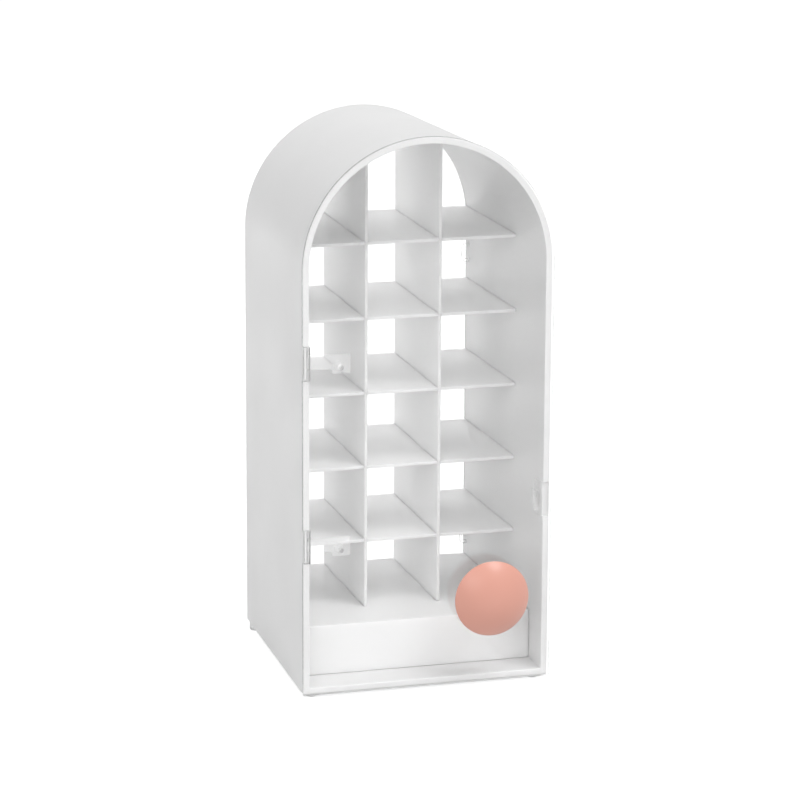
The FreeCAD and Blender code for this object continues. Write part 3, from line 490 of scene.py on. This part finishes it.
clear_door = clear_plastic(
    "clear_door_sheet",
    (0.99, 0.99, 0.99, 1.0),
    (0.985, 0.985, 0.985, 1.0),
    (0.0, 0.012),
    0.0000002,
    1.49,
    cloud_scale=14.0,
    grain_scale=300.0,
    smudges=0.02,
)
clear_edge = clear_plastic(
    "clear_door_edge",
    (0.80, 0.80, 0.80, 1.0),
    (0.76, 0.76, 0.76, 1.0),
    (0.03, 0.08),
    0.0000005,
    1.49,
    shown=0.45,
    cloud_scale=60.0,
    grain_scale=900.0,
    smudges=0.04,
)
clear_panel = clear_plastic(
    "clear_back_sheet",
    (0.99, 0.99, 0.99, 1.0),
    (0.985, 0.985, 0.985, 1.0),
    (0.0, 0.015),
    0.0000002,
    1.49,
    cloud_scale=16.0,
    grain_scale=300.0,
    smudges=0.02,
)
clear_hardware = clear_plastic(
    "clear_small_parts",
    (0.95, 0.95, 0.95, 1.0),
    (0.93, 0.93, 0.93, 1.0),
    (0.06, 0.14),
    0.000002,
    1.5,
    shown=0.18,
    glassy=0.0,
    cloud_scale=180.0,
    grain_scale=1800.0,
    smudges=0.05,
)
# Painted shade: the clear bumpers are tinted grey for the shade under the shell in which they
# stand.
clear_foot = clear_plastic(
    "clear_soft_bumper",
    (0.66, 0.66, 0.66, 1.0),
    (0.60, 0.60, 0.60, 1.0),
    (0.3, 0.4),
    0.000004,
    1.45,
    cloud_scale=250.0,
    grain_scale=1500.0,
    smudges=0.1,
)
print("clear finishes:", clear_door.name, clear_panel.name, clear_hardware.name, clear_foot.name)


# %% [markdown]
# ## Steel
# The knob's screw and the hinge pins are bright plated steel with a satin skin. Drawn and turned
# metal has fine lines round its axis, so a stretched noise breaks up its gloss.

# %% Steel finish
def build_steel():
    material = new_material("plated_steel", (0.9, 0.9, 0.9, 1.0))
    make = material.node_tree.nodes.new
    join = material.node_tree.links.new
    shader = make("ShaderNodeBsdfPrincipled")
    shader.inputs["Metallic"].default_value = 1.0
    place = make("ShaderNodeTexCoord")
    stretch = make("ShaderNodeMapping")
    stretch.inputs["Scale"].default_value = (900.0, 900.0, 6000.0)
    join(place.outputs["Object"], stretch.inputs["Vector"])
    lines = make("ShaderNodeTexNoise")
    lines.inputs["Scale"].default_value = 1.0
    lines.inputs["Detail"].default_value = 3.0
    join(stretch.outputs["Vector"], lines.inputs["Vector"])
    gloss = make("ShaderNodeMapRange")
    gloss.inputs["To Min"].default_value = 0.36
    gloss.inputs["To Max"].default_value = 0.5
    join(lines.outputs["Fac"], gloss.inputs["Value"])
    join(gloss.outputs["Result"], shader.inputs["Roughness"])
    colour = make("ShaderNodeValToRGB")
    colour.color_ramp.elements[0].color = (0.86, 0.86, 0.86, 1.0)
    colour.color_ramp.elements[1].color = (0.94, 0.94, 0.94, 1.0)
    join(lines.outputs["Fac"], colour.inputs["Fac"])
    join(colour.outputs["Color"], shader.inputs["Base Color"])
    output = make("ShaderNodeOutputMaterial")
    join(shader.outputs[0], output.inputs["Surface"])
    return material


plated_steel = build_steel()
print("steel finish:", plated_steel.name)

# %% [markdown]
# ## Working by hand
# Every new piece starts as a primitive at its own size and place. These helpers do what a hand
# does between two operators: clear the selection, pick vertices or faces by their place, and
# close the piece with its modifiers applied and its origin at the world's.

# %% Helpers for modelling
SMALL = 0.00001


def begin(primitive, **settings):
    """Adds a primitive at its place, moves its origin to the world's, and opens it for editing."""
    bpy.ops.object.select_all(action="DESELECT")
    primitive(**settings)
    bpy.ops.object.transform_apply(location=True, rotation=True, scale=True)
    bpy.ops.object.mode_set(mode="EDIT")
    return bpy.context.object


def pick(kind, test):
    """Selects the vertices, edges or faces all of whose corners pass the test."""
    bpy.ops.mesh.select_mode(type=kind)
    bpy.ops.mesh.select_all(action="DESELECT")
    mesh = bmesh.from_edit_mesh(bpy.context.object.data)
    if kind == "VERT":
        for corner in mesh.verts:
            corner.select = test(corner.co)
    elif kind == "EDGE":
        for edge in mesh.edges:
            edge.select = all(test(corner.co) for corner in edge.verts)
    else:
        for face in mesh.faces:
            face.select = all(test(corner.co) for corner in face.verts)
    mesh.select_flush_mode()
    bmesh.update_edit_mesh(bpy.context.object.data)


def close_up(piece, name):
    """Leaves edit mode, merges doubles and turns the faces outwards."""
    bpy.ops.mesh.select_mode(type="VERT")
    bpy.ops.mesh.select_all(action="SELECT")
    bpy.ops.mesh.remove_doubles(threshold=SMALL / 10)
    bpy.ops.mesh.normals_make_consistent(inside=False)
    bpy.ops.object.mode_set(mode="OBJECT")
    piece.name = name
    piece.data.name = name
    return piece


def apply_modifier(piece, kind, **settings):
    """Adds one modifier with its settings and applies it."""
    bpy.ops.object.select_all(action="DESELECT")
    piece.select_set(True)
    bpy.context.view_layer.objects.active = piece
    modifier = piece.modifiers.new(kind.lower(), kind)
    for setting, value in settings.items():
        setattr(modifier, setting, value)
    bpy.ops.object.modifier_apply(modifier=modifier.name)


def smooth(piece, degrees=35.0):
    """Shades a piece smooth, with sharp edges where it turns by more than an angle."""
    bpy.ops.object.select_all(action="DESELECT")
    piece.select_set(True)
    bpy.context.view_layer.objects.active = piece
    bpy.ops.object.shade_smooth_by_angle(angle=math.radians(degrees))
    apply_modifier(piece, "WEIGHTED_NORMAL", mode="FACE_AREA", weight=100, keep_sharp=True)


def cut_away(piece, cutter, operation="DIFFERENCE"):
    """Cuts a piece with another one, or joins them, and throws the other away."""
    apply_modifier(piece, "BOOLEAN", object=cutter, operation=operation, solver="EXACT")
    bpy.data.objects.remove(cutter)


def block(low, high):
    """A plain block between two corners, used as a cutter or as a start."""
    low = Vector(low)
    high = Vector(high)
    middle = (low + high) / 2
    piece = begin(bpy.ops.mesh.primitive_cube_add, size=1.0, location=middle, scale=high - low)
    bpy.ops.object.mode_set(mode="OBJECT")
    return piece


def finish_piece(piece, material, body, slot, *nodes):
    """Gives a piece its finish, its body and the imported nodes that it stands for."""
    piece.data.materials.clear()
    piece.data.materials.append(material)
    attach(piece, body)
    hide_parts(*nodes)
    print(piece.name, "faces:", len(piece.data.polygons))


# %% [markdown]
# ## Arch shell
# The real shell is one moulding with the same wall all round. It could be cut from a block, but
# then its rounded edges would have to be found again. Here the wall's section is drawn once with
# its rounding, spun through a quarter turn for half the arch, drawn down as the left wall, cut at
# 45 degrees at the corner and drawn along the floor. A mirror adds the right half.

# %% Section of the wall
SECTION_MIDDLE = (-HALF_WIDTH + WALL / 2, (RIM_Y + BACK_Y) / 2, SPRING_Z)
section = begin(
    bpy.ops.mesh.primitive_plane_add,
    size=1.0,
    location=SECTION_MIDDLE,
)
bpy.ops.mesh.select_all(action="SELECT")
bpy.ops.transform.resize(value=(WALL, BACK_Y - RIM_Y, 1), center_override=SECTION_MIDDLE)
print("section", round(WALL / MM, 2), "x", round((BACK_Y - RIM_Y) / MM, 2), "mm")

# %% [markdown]
# The four corners are pulled to the section's real ones: the lip and the draft on the outside, one
# straight draft on the inside. A cut gives the outside its parting line.

# %% Lip and draft of the section
EDGE_ROUND = 0.35 * MM


def pull(test, x=0.0, y=0.0, z=0.0):
    """Picks vertices by their place and moves them."""
    pick("VERT", test)
    bpy.ops.transform.translate(value=(x, y, z))


def at_front(place):
    return place.y < RIM_Y + SMALL


def at_back(place):
    return place.y > BACK_Y - SMALL


def is_outer(place):
    return place.x < -HALF_WIDTH + WALL / 2


bpy.ops.mesh.bisect(plane_co=(0, PARTING_Y, 0), plane_no=(0, 1, 0))
pull(at_back, x=DRAFT_INSET)
pull(lambda place: at_front(place) and is_outer(place), x=LIP_INSET)
pull(lambda place: at_front(place) and not is_outer(place), x=-LIP_DEPTH * SLOPE)
bpy.ops.mesh.select_mode(type="FACE")
bpy.ops.mesh.select_all(action="SELECT")
bpy.ops.mesh.dissolve_faces()
bpy.ops.mesh.select_all(action="SELECT")
bpy.ops.mesh.dissolve_limited(angle_limit=math.radians(0.5))
print("corners of the section:", len(bmesh.from_edit_mesh(section.data).verts))

# %% Round the section's corners and keep its outline
def is_corner(place):
    """All corners but the one on the parting line, which stays a crisp line."""
    return abs(place.y - PARTING_Y) > SMALL


pick("VERT", is_corner)
bpy.ops.mesh.bevel(affect="VERTICES", offset=EDGE_ROUND, segments=3)
bpy.ops.mesh.select_mode(type="FACE")
bpy.ops.mesh.select_all(action="SELECT")
bpy.ops.mesh.delete(type="ONLY_FACE")
print("points round the section:", len(bmesh.from_edit_mesh(section.data).verts))

# %% Spin the section over the arch
STEPS = 48
bpy.ops.mesh.select_mode(type="EDGE")
bpy.ops.mesh.select_all(action="SELECT")
bpy.ops.mesh.spin(steps=STEPS, angle=math.radians(90), center=(0, 0, SPRING_Z), axis=(0, -1, 0))
mesh = bmesh.from_edit_mesh(section.data)
print("highest point of the arch:", round(max(v.co.z for v in mesh.verts) / MM, 2), "mm")

# %% Draw it down as the wall, cut the corner and draw it along the floor
def at_spring(place):
    return abs(place.z - SPRING_Z) < SMALL and place.x < 0


pick("EDGE", at_spring)
OVERRUN = 1.0 * MM
bpy.ops.mesh.extrude_region_move(
    TRANSFORM_OT_translate={"value": (0, 0, BOTTOM_Z - SPRING_Z - OVERRUN)}
)
CORNER = Vector((-HALF_WIDTH, 0, BOTTOM_Z))
pick("FACE", lambda place: place.z < SPRING_Z + SMALL)
bpy.ops.mesh.bisect(plane_co=CORNER, plane_no=(1, 0, -1), clear_outer=True)


def on_mitre(place):
    return abs((place.x - CORNER.x) - (place.z - CORNER.z)) < SMALL


pick("EDGE", on_mitre)
bpy.ops.mesh.extrude_region_move(TRANSFORM_OT_translate={"value": (HALF_WIDTH, 0, 0)})
bpy.ops.transform.resize(value=(0, 1, 1), center_override=(0, 0, 0))
mesh = bmesh.from_edit_mesh(section.data)
print("half shell:", len(mesh.faces), "faces; nearest to the middle:",
      round(max(v.co.x for v in mesh.verts) / MM, 4))

# %% Round the corner and mirror the half
CORNER_ROUND = 0.5 * MM
pick("EDGE", on_mitre)
bpy.ops.mesh.bevel(affect="EDGES", offset=CORNER_ROUND, segments=4)
close_up(section, "arch_shell_moulding")
shell = section
apply_modifier(shell, "MIRROR", use_axis=(True, False, False), merge_threshold=SMALL)
print("whole shell:", len(shell.data.polygons), "faces")

# %% [markdown]
# The rim has a slot and a shallow relief for each hinge, and a recess for the catch's keeper. The
# side walls have pockets for the back panel's hooks, and the floor has the feet's holes.
# They are cut after the mirror, because only some of them come in pairs.

# %% Cuts in the shell
def from_shell(x, y, z):
    """A place in the shell's own measures, in mm: across, back from the parting line, up."""
    return Vector((x * MM, PARTING_Y + y * MM, BOTTOM_Z + z * MM))


HINGE_HEIGHTS = {"upper": 132.2, "lower": 60.0}
CATCH_HEIGHT = 72.0
HOOK_HEIGHTS = (149.6, 156.1, 29.7, 36.2)
IN_FRONT_OF_RIM = -4.0
# Each cut: across from and to, back from and to, and half its height, in mm.
LEAF_SLOT = ((-49.25, -47.95), (IN_FRONT_OF_RIM, 4.05), 6.3)
ARM_RELIEF = ((-48.7, -46.0), (IN_FRONT_OF_RIM, -2.45), 3.1)
KEEPER_RECESS = ((46.0, 49.6), (IN_FRONT_OF_RIM, -2.475), 6.85)
LEFT_POCKET = ((-45.98, -44.43), (89.75, 91.25), 0.85)
RIGHT_POCKET = ((44.43, 45.98), (89.75, 91.25), 0.85)


def cut_from(piece, cut, height):
    """Cuts a block out of a piece, at a height above the shell's floor."""
    across, back, half = cut
    low = from_shell(across[0], back[0], height - half)
    high = from_shell(across[1], back[1], height + half)
    cut_away(piece, block(low, high))


for height in HINGE_HEIGHTS.values():
    cut_from(shell, LEAF_SLOT, height)
    cut_from(shell, ARM_RELIEF, height)
cut_from(shell, KEEPER_RECESS, CATCH_HEIGHT)
for height in HOOK_HEIGHTS:
    cut_from(shell, LEFT_POCKET, height)
    cut_from(shell, RIGHT_POCKET, height)
print("cuts for 2 hinges, the catch and", 2 * len(HOOK_HEIGHTS), "hook pockets")

# %% Holes for the feet's pegs
FEET = ("front_left_foot", "front_right_foot", "rear_left_foot", "rear_right_foot")
PEG_HOLE_RADIUS = 1.02 * MM
PEG_PLAY = 0.02 * MM
for name in FEET:
    low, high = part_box(name)
    middle = (low + high) / 2
    depth = high.z - low.z + 2 * PEG_HOLE_RADIUS
    cutter = begin(
        bpy.ops.mesh.primitive_cylinder_add,
        vertices=32,
        radius=PEG_HOLE_RADIUS,
        depth=depth,
        location=(middle.x, middle.y, high.z + PEG_PLAY - depth / 2),
    )
    bpy.ops.object.mode_set(mode="OBJECT")
    cut_away(shell, cutter)
smooth(shell)
finish_piece(shell, shell_white, "cabinet", "shell_white", "arch_shell")


# %% [markdown]
# ## Sheets and small parts
# The dividers, shelves, step, back panel and small clear parts have their real shapes in the
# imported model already, but with knife-sharp edges, and no real edge is that sharp. A merged copy
# of each gets a narrow rounding, thinner on the sheets. A weighted normal keeps the flat faces
# flat. The small clear parts cast no shadow of their own: a renderer gives up on a ray of light
# after a few clear faces, and the door's and the catch's together would leave a black patch.

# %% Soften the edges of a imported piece
def softened(node, width, material, body, slot, segments=2, limit=40.0, gap=0.0, reach=0.0):
    """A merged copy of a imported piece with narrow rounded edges, which stands for it.

    With a gap, every face first goes in by that much, so that clear pieces don't share a face.
    With a reach, the piece is that much wider on each side, which narrows the dark line that its
    play leaves beside a wall.
    """
    source = frame["nodes"][node]
    piece = bpy.data.objects.new(node + "_rounded", source.data.copy())
    bpy.context.scene.collection.objects.link(piece)
    bpy.ops.object.select_all(action="DESELECT")
    piece.select_set(True)
    bpy.context.view_layer.objects.active = piece
    bpy.ops.mesh.customdata_custom_splitnormals_clear()
    bpy.ops.object.mode_set(mode="EDIT")
    bpy.ops.mesh.select_all(action="SELECT")
    bpy.ops.mesh.remove_doubles(threshold=SMALL / 10)
    bpy.ops.mesh.select_all(action="SELECT")
    bpy.ops.mesh.dissolve_limited(angle_limit=math.radians(0.3))
    bpy.ops.mesh.select_all(action="SELECT")
    bpy.ops.transform.shrink_fatten(value=-gap, use_even_offset=True)
    share = 1 + 2 * reach / piece.dimensions.x
    bpy.ops.transform.resize(value=(share, 1, 1), center_override=(0, 0, 0))
    bpy.ops.object.mode_set(mode="OBJECT")
    apply_modifier(
        piece,
        "BEVEL",
        width=width,
        segments=segments,
        limit_method="ANGLE",
        angle_limit=math.radians(limit),
    )
    smooth(piece, limit)
    finish_piece(piece, material, body, slot, node)
    return piece


SIDE_REACH = 0.18 * MM
SHEET_ROUND = 0.15 * MM
STEP_ROUND = 0.2 * MM
for node in ("left_divider", "right_divider"):
    softened(node, SHEET_ROUND, grid_white, "cabinet", "grid_white")
for node in ("shelf_1", "shelf_2", "shelf_3", "shelf_4", "shelf_5"):
    softened(node, SHEET_ROUND, grid_white, "cabinet", "grid_white", reach=SIDE_REACH)
softened("base_step", STEP_ROUND, step_white, "cabinet", "shell_white", reach=SIDE_REACH)
softened("rear_panel", SHEET_ROUND, clear_panel, "cabinet", "clear_panel")

# %% Small parts
CLEAR_GAP = 0.02 * MM
SMALL_ROUND = 0.12 * MM
STEEL_ROUND = 0.1 * MM
FOOT_ROUND = 0.25 * MM
clear_parts = [("catch_keeper", "cabinet"), ("catch_tongue", "door"), ("knob_washer", "door")]
for side in ("upper", "lower"):
    for part, body in (("frame_leaf", "cabinet"), ("door_leaf", "door"), ("rivet", "door")):
        clear_parts.append((f"{side}_hinge_{part}", body))
    softened(f"{side}_hinge_pin", STEEL_ROUND, plated_steel, "cabinet", "steel")
for node, body in clear_parts:
    piece = softened(node, SMALL_ROUND, clear_hardware, body, "clear_hardware", gap=CLEAR_GAP)
    piece.visible_shadow = False
softened("knob_screw", STEEL_ROUND, plated_steel, "door", "steel")
for node in FEET:
    softened(node, FOOT_ROUND, clear_foot, "cabinet", "clear_foot", segments=3, limit=30.0)

# %% [markdown]
# ## Door
# The door is one flat sheet cut to the arch and polished round its edge. It starts as a ring of
# points: the lower half is deleted, the two ends are drawn down, and the outline is filled and
# given its thickness.

# %% Door sheet
door_low, door_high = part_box("front_door")
DOOR_HALF = (door_high.x - door_low.x) / 2
DOOR_SPRING = door_high.z - DOOR_HALF
door = begin(
    bpy.ops.mesh.primitive_circle_add,
    vertices=4 * STEPS,
    radius=DOOR_HALF,
    fill_type="NOTHING",
    location=(0, door_low.y, DOOR_SPRING),
    rotation=(math.radians(90), 0, 0),
)
pick("VERT", lambda place: place.z < DOOR_SPRING - SMALL)
bpy.ops.mesh.delete(type="VERT")
pick("VERT", lambda place: place.z < DOOR_SPRING + SMALL)
bpy.ops.mesh.extrude_vertices_move(
    TRANSFORM_OT_translate={"value": (0, 0, door_low.z - DOOR_SPRING)}
)
bpy.ops.mesh.select_all(action="SELECT")
bpy.ops.mesh.edge_face_add()
bpy.ops.mesh.extrude_region_move(TRANSFORM_OT_translate={"value": (0, door_high.y - door_low.y, 0)})
close_up(door, "clear_door")
DOOR_EDGE_ROUND = 0.5 * MM
apply_modifier(door, "BEVEL", width=DOOR_EDGE_ROUND, segments=4, limit_method="ANGLE")
print("door", [round(side / MM, 2) for side in door.dimensions], "mm")

# %% Notches and holes of the door
HINGE_NOTCH = ((-52.0, -47.4), (-7.0, -3.0), 6.6)
KNOB_HOLE = (24.5, 35.3)
KNOB_HOLE_RADIUS = 1.6
RIVET_ACROSS = -35.2
RIVET_DROP = 2.1
RIVET_HOLE_RADIUS = 1.02
SHEET_MIDDLE = -5.05
DRILL_LENGTH = 6.0
for height in HINGE_HEIGHTS.values():
    cut_from(door, HINGE_NOTCH, height)
drilled = [(KNOB_HOLE, KNOB_HOLE_RADIUS)]
for height in HINGE_HEIGHTS.values():
    drilled.append(((RIVET_ACROSS, height - RIVET_DROP), RIVET_HOLE_RADIUS))
for (x, z), radius in drilled:
    cutter = begin(
        bpy.ops.mesh.primitive_cylinder_add,
        vertices=48,
        radius=radius * MM,
        depth=DRILL_LENGTH * MM,
        location=from_shell(x, SHEET_MIDDLE, z),
        rotation=(math.radians(90), 0, 0),
    )
    bpy.ops.object.mode_set(mode="OBJECT")
    cut_away(door, cutter)
smooth(door)
finish_piece(door, clear_door, "door", "clear_door", "front_door")
door.data.materials.append(clear_edge)
FACES_FRONT_OR_BACK = 0.95
for face in door.data.polygons:
    if abs(face.normal.y) < FACES_FRONT_OR_BACK:
        face.material_index = 1
print("edge faces:", sum(face.material_index for face in door.data.polygons))

# %% [markdown]
# ## Knob
# The knob is turned: a shallow dome, a rounded rim and a cone that leaves room for fingertips. A
# sphere cut off by a plane gives the dome. Its edge is drawn back and scaled down for the cone and
# neck, the back is closed, and a cylinder cuts the screw's hole.

# %% Knob
knob_low, knob_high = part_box("door_knob")
KNOB_RIM_RADIUS = 15.2 * MM
KNOB_RIM_UP = 4.6 * MM
NECK_RADIUS = 6.0 * MM
NECK_UP = 1.0 * MM
KNOB_RIM_ROUND = 0.7 * MM
SCREW_HOLE_RADIUS = 1.52 * MM
SCREW_HOLE_DEPTH = 6.1 * MM
crown_height = knob_high.y - knob_low.y - KNOB_RIM_UP
sphere_radius = (KNOB_RIM_RADIUS**2 + crown_height**2) / (2 * crown_height)
knob_middle = (knob_low + knob_high) / 2
rim_y = knob_high.y - KNOB_RIM_UP
knob = begin(
    bpy.ops.mesh.primitive_uv_sphere_add,
    segments=128,
    ring_count=128,
    radius=sphere_radius,
    location=(knob_middle.x, knob_low.y + sphere_radius, knob_middle.z),
    rotation=(math.radians(90), 0, 0),
)
bpy.ops.mesh.select_all(action="SELECT")
bpy.ops.mesh.bisect(plane_co=(0, rim_y, 0), plane_no=(0, 1, 0), clear_outer=True)


def draw_ring(from_y, to_y, from_radius, to_radius):
    """Extrudes the open ring at one depth to another depth and radius."""
    pick("EDGE", lambda place: place.y > from_y - SMALL)
    bpy.ops.mesh.extrude_region_move(TRANSFORM_OT_translate={"value": (0, to_y - from_y, 0)})
    share = to_radius / from_radius
    bpy.ops.transform.resize(
        value=(share, 1, share), center_override=(knob_middle.x, to_y, knob_middle.z)
    )


draw_ring(rim_y, knob_high.y - NECK_UP, KNOB_RIM_RADIUS, NECK_RADIUS)
draw_ring(knob_high.y - NECK_UP, knob_high.y, NECK_RADIUS, NECK_RADIUS)
pick("EDGE", lambda place: place.y > knob_high.y - SMALL)
bpy.ops.mesh.edge_face_add()
pick("EDGE", lambda place: abs(place.y - rim_y) < SMALL)
bpy.ops.mesh.bevel(affect="EDGES", offset=KNOB_RIM_ROUND, segments=6)
close_up(knob, "salmon_knob")
cutter = begin(
    bpy.ops.mesh.primitive_cylinder_add,
    vertices=48,
    radius=SCREW_HOLE_RADIUS,
    depth=2 * SCREW_HOLE_DEPTH,
    location=(knob_middle.x, knob_high.y, knob_middle.z),
    rotation=(math.radians(90), 0, 0),
)
bpy.ops.object.mode_set(mode="OBJECT")
cut_away(knob, cutter)
smooth(knob, 30.0)
finish_piece(knob, knob_salmon, "door", "knob_salmon", "door_knob")

# %% [markdown]
# ## Finish
# The imported box and the box of what is shown are written side by side.

# %% Sizes and the last step
dressed_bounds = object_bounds()
for corner in (*packed_bounds, *dressed_bounds):
    print([round(value / MM, 2) for value in corner])
